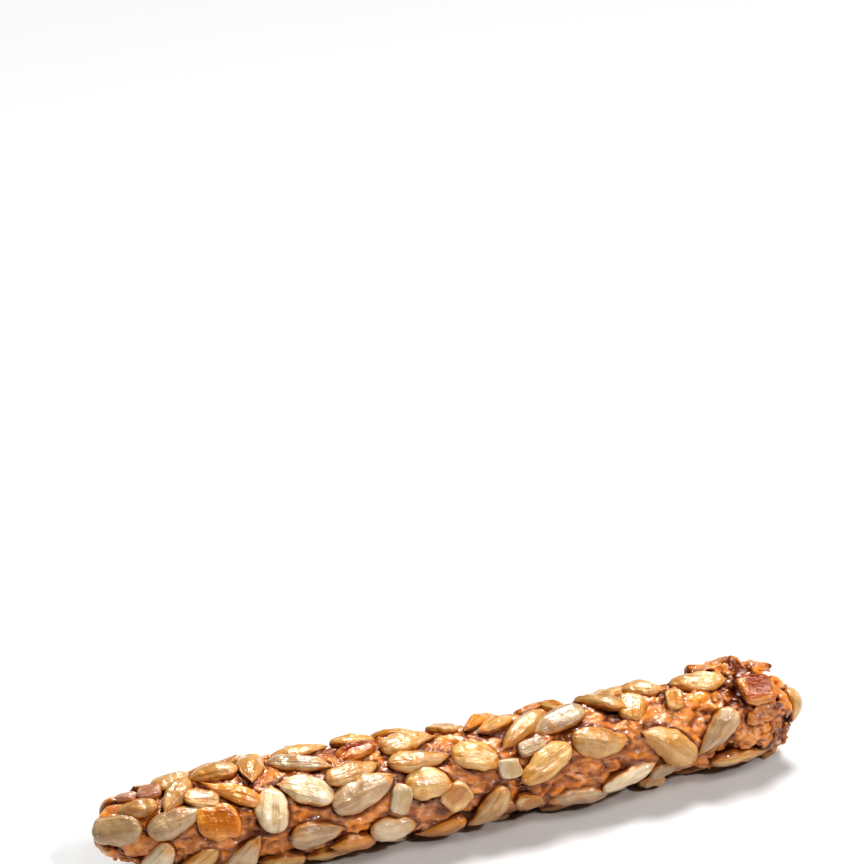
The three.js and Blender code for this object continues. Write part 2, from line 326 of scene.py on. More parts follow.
def scatter(shown):
    """Kernels and chips by rule, each clear of those already there but for a little overlap."""
    taken = [footprint(row) for row in shown]
    found = []
    for rule in RULES:
        wanted = len(found) + rule["most"]
        for _ in range(TRIES):
            if len(found) == wanted:
                break
            along = between(rule["along"])
            around = between((SHOWN_TO, 360 + SHOWN_FROM))
            heading = (0 if draw() < 0.5 else 180) + HEADING_SPREAD * (draw() + draw() - 1)
            tone = TONES_BY_RULE[len(found) % len(TONES_BY_RULE)]
            row = (along, around, heading, between(rule["length"]), between(rule["width"]), tone)
            covers = footprint(row)
            if all(gap_between(covers, other) > -rule["overlap"] for other in taken):
                taken.append(covers)
                found.append(piece(rule["kind"], row))
    return found


def more_shards(rule):
    """Shards by rule on the side that wasn't measured."""
    found = []
    for _ in range(rule["most"]):
        around = between((SHOWN_TO, 360 + SHOWN_FROM))
        start = (between(rule["along"]), around, SHARD_HEADING * (2 * draw() - 1))
        row = (*start, between(SHARD_LENGTH), between(SHARD_WIDTH), "dough")
        found.append(piece(SHARD, row))
    return found


laid_pieces = [piece(KERNEL, row) for row in SHOWN_KERNELS]
laid_pieces += [piece(CHIP, row) for row in SHOWN_CHIPS]
laid_pieces += [piece(SHARD, row) for row in SHOWN_SHARDS]
laid_pieces += scatter(SHOWN_KERNELS + SHOWN_CHIPS)
for shard_rule in SHARD_RULES:
    laid_pieces += more_shards(shard_rule)
print("pieces on the dough:", len(laid_pieces))

# %% [markdown]
# Nothing on real bread is smooth, so the forms carry noise. Gradient noise gives rolling swells: every
# corner of a grid of cells gets a random direction, and a point between corners blends what the eight
# directions say about it. Cellular noise gives broken lumps: each cell holds one random seed point, and
# space is shared out to the nearest. Both take arrays of points in millimetres, divided by the size
# wanted, and both give the same numbers on each run.

# %% Noise
CORNERS = np.array([[i & 1, (i >> 1) & 1, (i >> 2) & 1] for i in range(8)])
NEIGHBOURS = np.array([[i % 3 - 1, (i // 3) % 3 - 1, i // 9 - 1] for i in range(27)])


def mixed_bits(cells, seed):
    """Three numbers from 0 to 1 for each cell, from its place and a seed mixed by products and shifts."""
    x, y, z = np.moveaxis(cells.astype(np.int64).astype(np.uint64), -1, 0)
    bits = x * np.uint64(374761393) + y * np.uint64(668265263) + z * np.uint64(2147483647)
    bits = (bits + np.uint64(seed) * np.uint64(144269504)) & np.uint64(0xFFFFFFFF)
    bits = ((bits ^ (bits >> np.uint64(13))) * np.uint64(1274126177)) & np.uint64(0xFFFFFFFF)
    bits = bits ^ (bits >> np.uint64(16))
    parts = [(bits >> np.uint64(shift)) & np.uint64(1023) for shift in (0, 10, 20)]
    return np.stack(parts, axis=-1) / 1023


def noise(points, seed):
    """Gradient noise, about -1 to 1: eight corners' directions, blended by 6s^5 - 15s^4 + 10s^3."""
    base = np.floor(points)
    local = points - base
    fade = local**3 * (local * (6 * local - 15) + 10)
    total = np.zeros(points.shape[:-1])
    for corner in CORNERS:
        direction = 2 * mixed_bits(base + corner, seed) - 1
        weight = np.where(corner == 1, fade, 1 - fade).prod(axis=-1)
        total += weight * (direction * (local - corner)).sum(axis=-1)
    return 1.6 * total


def layered(points, seed, layers):
    """Noise plus finer noise, each layer half as large and half as high."""
    return sum(noise(points * 2**k, seed + k) / 2**k for k in range(layers))


def broken(points, seed):
    """Cellular noise: each point's lump height from 0 to 1, and how far the crack to the next lump is."""
    base = np.floor(points)
    nearest = np.full(points.shape[:-1], 9.0)
    second = nearest.copy()
    height = np.zeros_like(nearest)
    for neighbour in NEIGHBOURS:
        seat = mixed_bits(base + neighbour, seed)
        apart = np.linalg.norm(base + neighbour + seat - points, axis=-1)
        closer = apart < nearest
        second = np.where(closer, nearest, np.minimum(second, apart))
        height = np.where(closer, seat[..., 0], height)
        nearest = np.where(closer, apart, nearest)
    return height, second - nearest


sample = np.random.default_rng(1).uniform(0, 40, (1000, 3))
print("noise over 1000 points spans:", np.round(np.ptp(noise(sample, 5)), 2))

# %% [markdown]
# Dough, kernels and crumbs are all closed skins: rings of points from one tip to the other. One function
# turns an array of such rings into a mesh, for a single skin or for hundreds at once. It also keeps the
# place around and along each skin as its UV map, so that a pattern can follow the surface.

# %% From rings to a mesh
def closed_skins(name, points, values):
    """points is [skin, ring, side, xyz] in millimetres, its first and last rings shrunk to a point.

    Neighbouring rings are joined by quads and the tips by triangles. values holds named numbers, one for
    each [skin, ring, side], that the materials can read.
    """
    count, rings, sides, _ = points.shape
    per_skin = (rings - 2) * sides + 2
    number = np.zeros((rings, sides + 1), int)
    number[-1] = per_skin - 1
    number[1:-1, :sides] = 1 + np.arange((rings - 2) * sides).reshape(rings - 2, sides)
    number[1:-1, sides] = number[1:-1, 0]

    spot = np.arange(rings * (sides + 1)).reshape(rings, sides + 1)
    a, b, c, d = spot[:-1, :-1], spot[:-1, 1:], spot[1:, 1:], spot[1:, :-1]
    first = np.stack([a[0], c[0], d[0]], axis=-1)
    quads = np.stack([a, b, c, d], axis=-1)[1:-1].reshape(-1, 4)
    last = np.stack([a[-1], b[-1], c[-1]], axis=-1)
    corners = np.concatenate([first.ravel(), quads.ravel(), last.ravel()])
    lengths = np.concatenate([np.full(sides, 3), np.full(len(quads), 4), np.full(sides, 3)])

    skins = np.arange(count)[:, None]
    loops = (number.ravel()[corners][None] + per_skin * skins).ravel()
    starts = np.concatenate([[0], np.cumsum(np.tile(lengths, count))[:-1]])
    places = np.stack(np.meshgrid(np.arange(sides + 1) / sides, np.linspace(0, 1, rings)), axis=-1)

    def flat(grid):
        """A value for each vertex out of one for each grid point: a tip keeps the first of its ring."""
        tips = grid[:, :1, 0], grid[:, -1:, 0]
        body = grid[:, 1:-1].reshape(count, (rings - 2) * sides, *grid.shape[3:])
        return np.concatenate([tips[0], body, tips[1]], axis=1).reshape(count * per_skin, *grid.shape[3:])

    mesh = bpy.data.meshes.new(name)
    mesh.vertices.add(count * per_skin)
    mesh.vertices.foreach_set("co", (flat(points) * MM).ravel())
    mesh.loops.add(len(loops))
    mesh.loops.foreach_set("vertex_index", loops)
    mesh.polygons.add(len(starts))
    mesh.polygons.foreach_set("loop_start", starts)
    mesh.polygons.foreach_set("use_smooth", np.ones(len(starts), bool))
    layer = mesh.uv_layers.new(name="UVMap")
    layer.data.foreach_set("uv", np.tile(places.reshape(-1, 2)[corners], (count, 1)).ravel())
    for label, grid in values.items():
        kept = mesh.attributes.new(label, "FLOAT", "POINT")
        kept.data.foreach_set("value", flat(np.broadcast_to(grid, points.shape[:3])).ravel())
    mesh.update(calc_edges=True)
    mesh.validate()
    made = bpy.data.objects.new(name, mesh)
    bpy.context.scene.collection.objects.link(made)
    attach(made, "root")
    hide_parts(NODE)
    print(f"{name}: {count} skins, {int((lengths - 2).sum()) * count} triangles")
    return made


def level(points):
    """Keeps everything above the tray: what would hang lower is pressed flat, as the baking does."""
    return np.concatenate([points[..., :2], np.maximum(points[..., 2:], 0)], axis=-1)


# %% [markdown]
# The dough is one skin of about 75,000 points. Its rings stand equally far apart along the profile, so
# the blunt torn end gets as many as the side. On the solid's slow relief it carries what the hands and
# the oven left: rolling marks, creases, strands drawn out along the stick, fine blisters, broken lumps
# where it was torn, and a lip wherever a kernel was pushed in and the dough welled up round it. The lip
# needs each point's distance to the nearest kernel's edge.

# %% How far the dough is from the kernels
FAR_OFF = 50.0 # millimetres, for a point that no kernel is near
EGG_TAPER = 0.25 # how fast the egg narrows towards its point
EGG_WIDTHS = (0.7, 1.15) # its least and its greatest share of the kernel's width
SAME_SIDE = 4 # millimetres in or out, past which a kernel is on another side


def frames_of(pieces):
    """The rows of some pieces as arrays, with each one's place and directions on the dough."""
    rows = np.array([p["row"][:5] for p in pieces], float)
    along, around, heading, length, width = rows.T
    at, onward, upward, outward = surface_at(along, np.radians(around))
    turned = np.radians(heading)[:, None]
    point = onward * np.cos(turned) + upward * np.sin(turned)
    side = upward * np.cos(turned) - onward * np.sin(turned)
    return at, point, side, outward, length, width


def edge_distance(points, pieces):
    """Millimetres to the nearest piece's edge, below 0 on it: (g - 1) / |slope of g|, g = 1 on an egg."""
    nearest = np.full(points.shape[:-1], FAR_OFF)
    for at, point, side, outward, length, width in zip(*frames_of(pieces)):
        away = points - at
        p = (away @ point) / (length / 2)
        half = width / 2 * np.clip(1 - EGG_TAPER * p, *EGG_WIDTHS)
        q = (away @ side) / half
        g = np.maximum(np.hypot(p, q), 1e-6)
        slope = np.hypot(p / (length / 2), q / half) / g
        on_this_side = np.abs(away @ outward) < SAME_SIDE
        nearest = np.where(on_this_side, np.minimum(nearest, (g - 1) / slope), nearest)
    return nearest


whole_kernels = [p for p in laid_pieces if p["kind"] == "kernel"]
chips = [p for p in laid_pieces if p["kind"] == "chip"]
shards = [p for p in laid_pieces if p["kind"] == "shard"]
print("kernels:", len(whole_kernels), "chips:", len(chips), "shards:", len(shards))

# %% The dough
DOUGH_RINGS = 440
DOUGH_SIDES = 170
LUMP_SIZE = 4.5 # of the rolling marks, in millimetres, as are the sizes and heights below
LUMP_HEIGHT = 0.3
CREASE_SIZE = 2.4
CREASE_DEPTH = 0.3
CREASE_SHARPNESS = 6
STRAND_SIZE = np.array([4.2, 1.5, 1.5]) # drawn out along the stick by the rolling
STRAND_HEIGHT = 0.42
STRAND_SHARPNESS = 3
WARP_SIZE = 3 # of the swerves that keep creases and strands from running straight
WARP = 0.8
BLISTER_SIZE = 0.75
BLISTER_HEIGHT = 0.08
BROKEN_SIZE = 3.2
BROKEN_HEIGHT = 0.7
CRACK_DEPTH = 0.3
CRACK_WIDTH = 0.22 # share of a broken lump's size
LIP_HEIGHT = 0.35
LIP_WIDTH = 0.7
LIP_PATCH_SIZE = 1.7
TIP_TORN = 0.7 # how torn the tapered tip is, where the torn end is 1
BARE_TORN = 0.45 # the same for dough that is far from any kernel
# pooled syrup and painted contact shade darken the dough this far round a kernel
SYRUP_AND_SHADE_WIDTH = 1.1 # how far syrup pools round a kernel


def even_rings(count):
    """Places along the stick an equal step apart on the profile, by its running length."""
    reach = STICK_LENGTH - TORN_MARGIN
    fine = reach * (1 - np.cos(np.linspace(0, np.pi, 4000))) / 2
    profile = np.hypot(np.diff(fine), np.diff(dough_radius(fine)))
    run_length = np.concatenate([[0], np.cumsum(profile)])
    return np.interp(np.linspace(0, run_length[-1], count), run_length, fine)


def outward_of(points):
    """Unit normals of a skin's grid: the step to the next side crossed with the step to the next ring."""
    sideways = np.roll(points, -1, axis=1) - np.roll(points, 1, axis=1)
    lengthways = np.gradient(points, axis=0)
    normal = np.cross(sideways, lengthways)
    size = np.linalg.norm(normal, axis=-1, keepdims=True)
    return normal / np.maximum(size, 1e-9)


# %% Where the dough's points lie
dough_along = even_rings(DOUGH_RINGS)[:, None]
dough_around = np.linspace(0, 2 * np.pi, DOUGH_SIDES, endpoint=False)[None, :]
smooth_radius = dough_radius(dough_along)
standing = pull(dough_along, dough_around) + relief(dough_along, dough_around)
swollen = smooth_radius * (1 + standing / THICK_END_RADIUS)
dough_points = on_stick(dough_along, dough_around, swollen)
dough_outward = outward_of(dough_points)
dough_outward[0] = (-1, 0, 0)
dough_outward[-1] = (1, 0, 0)
kernel_edge = edge_distance(dough_points, whole_kernels + chips)

# %% Relief on the dough
# How torn it is: most at the torn end, some at the other, and a little on the bare patches
torn = smooth_step(dough_along, TORN_FROM, TORN_LIP_AT)
torn = np.maximum(torn, TIP_TORN * (1 - smooth_step(dough_along, 3, 14)))
torn = np.maximum(torn, BARE_TORN * smooth_step(kernel_edge, 0.8, 3))

swerves = [noise(dough_points / WARP_SIZE, seed) for seed in (11, 12, 13)]
warped = dough_points + WARP * np.stack(swerves, axis=-1)
lumps = LUMP_HEIGHT * layered(dough_points / LUMP_SIZE, 21, 3)
creases = -CREASE_DEPTH * (1 - np.abs(noise(warped / CREASE_SIZE, 31))) ** CREASE_SHARPNESS
strands = STRAND_HEIGHT * (1 - np.abs(layered(warped / STRAND_SIZE, 35, 2))) ** STRAND_SHARPNESS
blisters = BLISTER_HEIGHT * layered(dough_points / BLISTER_SIZE, 41, 2)
chunk, crack = broken(warped / BROKEN_SIZE, 51)
crags = torn * (BROKEN_HEIGHT * (chunk - 0.5) - CRACK_DEPTH * (1 - smooth_step(crack, 0, CRACK_WIDTH)))
lips = LIP_HEIGHT * np.exp(-((np.maximum(kernel_edge, 0) / LIP_WIDTH) ** 2))
lips = lips * (0.8 + 0.5 * noise(dough_points / LIP_PATCH_SIZE, 61))
lips = lips * smooth_step(kernel_edge, -0.6, 0)
detail = lumps + creases + strands - STRAND_HEIGHT / 2 + blisters + crags + lips

tip_fade = smooth_step(smooth_radius, 0, 1.5)
dough_points = level(dough_points + dough_outward * (detail * tip_fade)[..., None])
dough_points[0] = dough_points[0].mean(axis=0)
dough_points[-1] = dough_points[-1].mean(axis=0)
# The crust reads this as rise: painted light on its crests and painted shade in its hollows
uneven = 0.5 * lumps + creases + strands - STRAND_HEIGHT / 2 + blisters + crags
# nearness to a kernel, by which the crust lays pooled syrup and painted contact shade
near_kernel = 1 - smooth_step(kernel_edge, 0, SYRUP_AND_SHADE_WIDTH)
dough = closed_skins("dough", dough_points[None], {"rise": uneven[None], "near_kernel": near_kernel[None]})

# %% [markdown]
# A hulled sunflower kernel is a flattened drop: a full, blunt end, a tapering one with a small nib that
# is often bent aside like a beak, a faint crease or ridge down its face, and fine wrinkles along it
# where it shrank in the oven. One formula makes them all, each with numbers of its own, because no two
# are alike on a real stick. A kernel is worked out flat, then laid on the dough and bent over it.

# %% Laying pieces on the dough
def on_dough(pieces, kind, u, v, h):
    """Puts local u (to the point), v (to the side) and h (out) on the dough, bent over its roundness."""
    rows = np.array([p["row"][:5] for p in pieces], float)
    tilts = np.array([[p["pitch"], p["roll"]] for p in pieces])
    along, around, heading = rows[:, 0], np.radians(rows[:, 1]), np.radians(rows[:, 2])
    at, onward, upward, outward = (each[:, None, None] for each in surface_at(along, around))
    cos, sin = np.cos(heading)[:, None, None], np.sin(heading)[:, None, None]
    sag = WRAP / (2 * (dough_radius(along) + kind["stand"]))[:, None, None]
    ahead = u * cos - v * sin
    over = u * sin + v * cos
    out = h + kind["stand"] + u * tilts[:, 0, None, None] + v * tilts[:, 1, None, None] - sag * over * over
    return level(at + onward * ahead[..., None] + upward * over[..., None] + outward * out[..., None])


def tip_to_tip(rings, sides):
    """The share of the length at each ring, closer together at the ends, and the turn at each side."""
    t = (1 - np.cos(np.linspace(0, np.pi, rings))) / 2
    return t[None, :, None], np.linspace(0, 2 * np.pi, sides, endpoint=False)[None, None, :]


# %% Kernels
KERNEL_RINGS = 36
KERNEL_SIDES = 28
KERNEL_SEED = 100
SEED_STEP = 10 # from one tone's seed to the next one's
NIB_LENGTH = 0.07 # share of the kernel's length that is bare nib
NIB_WIDTH = 0.36 # of the kernel's width, where the nib grows out of it
KERNEL_BEND = 0.16 # sideways range of its middle, as a share of the width
BEAK_BEND = 0.3 # and of its nib
CREASE_RANGE = 0.5 # from deepest crease to highest ridge, of the half thickness
CREASE_WIDTH = 0.3 # of the half width
SWELL_SIZE = 2.2 # millimetres
SWELL = 0.24 # of the half thickness
WRINKLE_SIZE = np.array([3.2, 0.42, 0.42]) # long along the kernel
WRINKLE = 0.08 # of the half thickness
SOAKED_SIZE = 1.5 # of the patches where syrup soaked in, in millimetres
NOISE_SPREAD = 40 # millimetres of noise, from which each piece reads its own stretch


def numbers_of(pieces, seed, count):
    """Length, width and some random numbers of each piece, shaped to work on its grid of points."""
    length, width = (np.array([p["row"][i] for p in pieces])[:, None, None] for i in (3, 4))
    chance = np.random.default_rng(seed).random((len(pieces), count))
    return length, width, chance[:, :, None, None]


def kernel_outline(t, chance):
    """Share of the half width at t: s^a (1 - s)^b over its greatest, joined to a nib by their cubes."""
    blunt = BLUNT_POWER * (0.88 + 0.2 * chance[:, 0])
    pointed = POINT_POWER * (0.75 + 0.5 * chance[:, 1] ** 2)
    widest = blunt / (blunt + pointed)
    s = np.clip(t / (1 - NIB_LENGTH), 0, 1)
    body = s**blunt * (1 - s) ** pointed / (widest**blunt * (1 - widest) ** pointed)
    nib = np.clip((1 - t) / (2.5 * NIB_LENGTH), 0, 1) ** 0.7 * smooth_step(t, 0.5, 0.9)
    return np.cbrt(body**3 + (NIB_WIDTH * (0.6 + 0.6 * chance[:, 2]) * nib) ** 3)


def kernel_skins(pieces, seed):
    """The outline along, an ellipse across, then two bends, a crease or ridge, swells and wrinkles."""
    t, turn = tip_to_tip(KERNEL_RINGS, KERNEL_SIDES)
    length, width, chance = numbers_of(pieces, seed, 8)
    outline = kernel_outline(t, chance)
    across = np.cos(turn)
    rise = np.sin(turn)
    u = length * (t - 0.5) + 0 * turn
    v = width / 2 * outline * across
    v = v + KERNEL_BEND * (chance[:, 3] - 0.5) * width * 4 * t * (1 - t)
    v = v + BEAK_BEND * (chance[:, 4] - 0.5) * width * smooth_step(t, 0.75, 1)
    face = np.exp(-(((across - 0.5 * (chance[:, 4] - 0.5)) / CREASE_WIDTH) ** 2)) * np.sin(np.pi * t)
    crease = CREASE_RANGE * (chance[:, 5] - 0.7) * face * (rise > 0)
    h = KERNEL["thickness"] / 2 * outline**0.92 * rise * (1 + crease)

    spot = np.stack([u, v, h], axis=-1) + NOISE_SPREAD * chance[:, 6, ..., None] * np.array([1, 0.7, 0.3])
    swell = SWELL * layered(spot / SWELL_SIZE, seed, 2)
    wrinkle = WRINKLE * noise(spot / WRINKLE_SIZE, seed + 1)
    v = v * (1 + 0.6 * swell)
    h = h * (1 + swell + wrinkle)

    # Syrup soaked in at the edge, most at the point and a little at the broad end, and painted shade
    # darkens the rim and underside where the kernel meets the dough
    edge = 1 - smooth_step(rise, 0, 0.6)
    tips = 0.6 * smooth_step(t, 0.72, 0.95) + 0.3 * (1 - smooth_step(t, 0, 0.12))
    syrup_and_rim_shade = np.clip(np.maximum(edge, tips) + 0.5 * noise(spot / SOAKED_SIZE, seed + 2), 0, 1)
    values = {"shade": chance[:, 7] + 0 * h, "syrup_and_rim_shade": syrup_and_rim_shade}
    return on_dough(pieces, KERNEL, u, v, h), values


def by_tone(name, pieces, skins, seed):
    """One mesh for each tone among the pieces."""
    made = {}
    for index, tone in enumerate(("tan", "grey", "gold", "cream", "amber", "red", "brown")):
        of_tone = [p for p in pieces if p["row"][5] == tone]
        if of_tone:
            made[tone] = closed_skins(f"{name}_{tone}", *skins(of_tone, seed + SEED_STEP * index))
    return made


kernel_objects = by_tone("kernels", whole_kernels, kernel_skins, KERNEL_SEED)

# %% [markdown]
# Broken kernels and shards of dough are laid in the same way, with a squarer outline: the wider a piece
# is for its length, the squarer. A chip is knobbly and a little skewed, and syrup has pooled on its
# broken face. A shard is a thin crust with ragged edges, which waves and droops towards its ends.

# %% Chips and shards
CHIP_RINGS = 22
CHIP_SIDES = 20
CHIP_SEED = 200
SHARD_SEED = 300
BOXINESS = 0.6 # power of the ellipse across a chip: 1 is an ellipse, 0 a box
SQUARENESS = (1.2, 3) # power n of the outline of a long one, and what it gains when as wide as long
SKEW = 0.4 # range of the lean, as a share of v
DISH = 0.35 # how deep the broken face may be, in millimetres


def chip_skins(pieces, seed, kind=CHIP, ragged=0.17, wave=0.15, droop=0):
    """Half width (1 - |2t - 1|^n)^(1/n) along, and a box with round corners across.

    Ragged is a share of the width and height, wave is in millimetres, and droop is times u squared.
    """
    t, turn = tip_to_tip(CHIP_RINGS, CHIP_SIDES)
    length, width, chance = numbers_of(pieces, seed, 5)
    power = SQUARENESS[0] + SQUARENESS[1] * width / length * (0.85 + 0.3 * chance[:, 4])
    outline = (1 - np.abs(2 * t - 1) ** power) ** (1 / power)
    across = np.sign(np.cos(turn)) * np.abs(np.cos(turn)) ** BOXINESS
    rise = np.sign(np.sin(turn)) * np.abs(np.sin(turn)) ** BOXINESS
    u = length * (t - 0.5) + 0 * turn
    v = width / 2 * outline * across
    h = kind["thickness"] / 2 * outline**0.8 * rise

    spot = np.stack([u, v, h], axis=-1) + NOISE_SPREAD * chance[:, 0, ..., None] * np.array([1, 0.6, 0.2])
    knobs = noise(spot / 1.9, seed) + 0.6 * noise(spot / 0.9, seed + 1)
    v = v * (1 + ragged * knobs)
    h = h * (1 + 0.8 * ragged * noise(spot / 1.3, seed + 2)) + wave * noise(spot / 2.2, seed + 4)
    h = h - DISH * chance[:, 3] * np.maximum(rise, 0) * np.sin(np.pi * t) * (1 - across**2)
    h = h - droop * u * u
    u = u * (1 + 0.5 * ragged * noise(spot / 1.6, seed + 3)) + SKEW * (chance[:, 1] - 0.5) * v

    # A chip's material reads the first three of these values, and a shard's the last
    face = rise * np.sin(np.pi * t**1.3) * (1 - (across - 0.3) ** 2)
    # Syrup stain and painted shade, most on the lower part of a chip, where it meets the dough
    values = {"shade": chance[:, 2] + 0 * h, "syrup_and_rim_shade": 1 - smooth_step(h, -0.1, 0.5)}
    values["pooled"] = smooth_step(face, 0.2, 0.45)
    # The crust paints a shard's high knobs with painted light and its low ones with painted shade
    values["rise"] = 0.6 * knobs - 0.1
    return on_dough(pieces, kind, u, v, h), values


chip_objects = by_tone("chips", chips, chip_skins, CHIP_SEED)
shard_skins = chip_skins(shards, SHARD_SEED, kind=SHARD, ragged=0.6, wave=0.6, droop=0.05)
shard_object = closed_skins("dough_shards", *shard_skins)

# %% [markdown]
# Crumbs lie where the dough was torn and in the gaps between kernels. Each is a knob of a few faces,
# because a crumb of half a millimetre shows only its glint, and they sit on points of the dough itself.

# %% Crumbs
CRUMB_COUNT = 70
CRUMB_RINGS = 7
CRUMB_SIDES = 7
CRUMB_SEED = 400
CRUMB_LEAST = 0.3 # across, in millimetres
CRUMB_RANGE = 0.6 # what the largest has on top


def crumb_skins(count, seed):
    """Ellipsoids with noise on them, seated on points of the dough that are clear of kernels."""
    draws = np.random.default_rng(seed)
    likely = (0.12 + torn) * (kernel_edge > 0.15) * (smooth_radius > 2)
    likely = likely * (dough_points[..., 2] > 0.8)
    seats = draws.choice(likely.size, size=count, replace=False, p=(likely / likely.sum()).ravel())
    centre = dough_points.reshape(-1, 3)[seats][:, None, None]
    lift = dough_outward.reshape(-1, 3)[seats][:, None, None]
    size = (CRUMB_LEAST + CRUMB_RANGE * draws.random(count) ** 3)[:, None, None, None]
    stretch = draws.uniform(0.6, 1.3, (count, 1, 1, 3))
    turn = np.linspace(0, 2 * np.pi, CRUMB_SIDES, endpoint=False)[None, None, :]
    polar = np.linspace(0, np.pi, CRUMB_RINGS)[None, :, None]
    ball = [np.sin(polar) * np.cos(turn), np.sin(polar) * np.sin(turn), -np.cos(polar) + 0 * turn]
    ball = np.stack(ball, axis=-1)
    knobby = 1 + 0.6 * noise(ball * 1.7 + 9 * np.arange(count)[:, None, None, None], seed)
    points = centre + lift * 0.2 * size + ball * size / 2 * stretch * knobby[..., None]
    points[:, 0] = points[:, 0].mean(axis=1, keepdims=True)
    points[:, -1] = points[:, -1].mean(axis=1, keepdims=True)
    # The fixed rise gives each crumb part of the crust's painted light on crests
    return level(points), {"rise": 0.3}


crumb_object = closed_skins("crumbs", *crumb_skins(CRUMB_COUNT, CRUMB_SEED))

# %% [markdown]
# Colours are written as a maker reads them off a swatch, in sRGB hex, and turned to the linear numbers
# that the renderer works in. Node trees are wired by one small function, which adds a node with its
# settings and fills its inputs. Baked food has colour laid over colour, so a loop lays a list of tints.

# %% Colour and nodes
def linear(hex_colour):
    """sRGB to linear: c / 12.92 below 0.04045, and ((c + 0.055) / 1.055)^2.4 above."""
    srgb = np.array([int(hex_colour[i:i + 2], 16) / 255 for i in (1, 3, 5)])
    values = np.where(srgb <= 0.04045, srgb / 12.92, ((srgb + 0.055) / 1.055) ** 2.4)
    return (*values.tolist(), 1)


def add_node(tree, kind, inputs, **settings):
    """Adds a node with its settings, and fills its inputs with values, colours or other nodes' outputs."""
    node = tree.nodes.new(kind)
    for name, value in settings.items():
        setattr(node, name, value)
    for key, value in inputs.items():
        if isinstance(value, bpy.types.NodeSocket):
            tree.links.new(value, node.inputs[key])
        elif isinstance(value, str):
            node.inputs[key].default_value = linear(value)
        else:
            node.inputs[key].default_value = value
    return node


def new_material(name):
    """An empty material with only its output, and that output."""
    material = bpy.data.materials.new(name)
    material.use_nodes = True
    material.node_tree.nodes.clear()
    return material, material.node_tree, add_node(material.node_tree, "ShaderNodeOutputMaterial", {})


def cells_per_metre(size_mm):
    """The scale of a noise texture whose swells are about size_mm across."""
    return 1 / (size_mm * MM)


COLOR_A, COLOR_B, COLOR_OUT = 6, 7, 2 # the colour sockets of a Mix node


def tinted(tree, colour, layers):
    """Lays tints over a colour in turn. Each comes in as its value goes from low to high, up to most."""
    for value, low, high, most, tint in layers:
        share = add_node(
            tree, "ShaderNodeMapRange", {"Value": value, "From Min": low, "From Max": high, "To Max": most},
        ).outputs["Result"]
        colour = add_node(
            tree, "ShaderNodeMix", {0: share, COLOR_A: colour, COLOR_B: tint}, data_type="RGBA",
        ).outputs[COLOR_OUT]
    return colour


print("linear of #D48C57:", [round(v, 3) for v in linear("#D48C57")])

# %% [markdown]
# The dough is a crust of flour, honey and malt, baked to caramel and brushed with syrup. The eye reads
# it by three things: a mottled orange brown that is pinkish where it is thin and pale where the flour
# shows, with painted shade in the cracks and hollows and painted light on the crests, and a broken glint,
# because the syrup ran and dried unevenly. Near the kernels the syrup pooled, and painted shade falls
# where the dough meets them, so it is darkest there.

# %% Caramel crust
CARAMEL = "#E48D2A"
THIN_CRUST = "#C27E4A"
FLOUR = "#F4C8A0"
# painted light: the colour laid on the crests of the dough
CREST_LIGHT = "#F4AE62"
# painted shade: the colour laid in the cracks and hollows of the dough
HOLLOW_SHADE = "#6A2804"
# pooled syrup with painted contact shade, laid where the dough meets a kernel
SYRUP_AND_CONTACT_SHADE = "#5A2002"
PATCH_SIZE = 5 # millimetres across, as are the sizes below
FLECK_SIZE = 1.1
DRIP_SIZE = 0.8
GRIT_SIZE = 0.35 # coarser than milled flour, which would be too fine to show


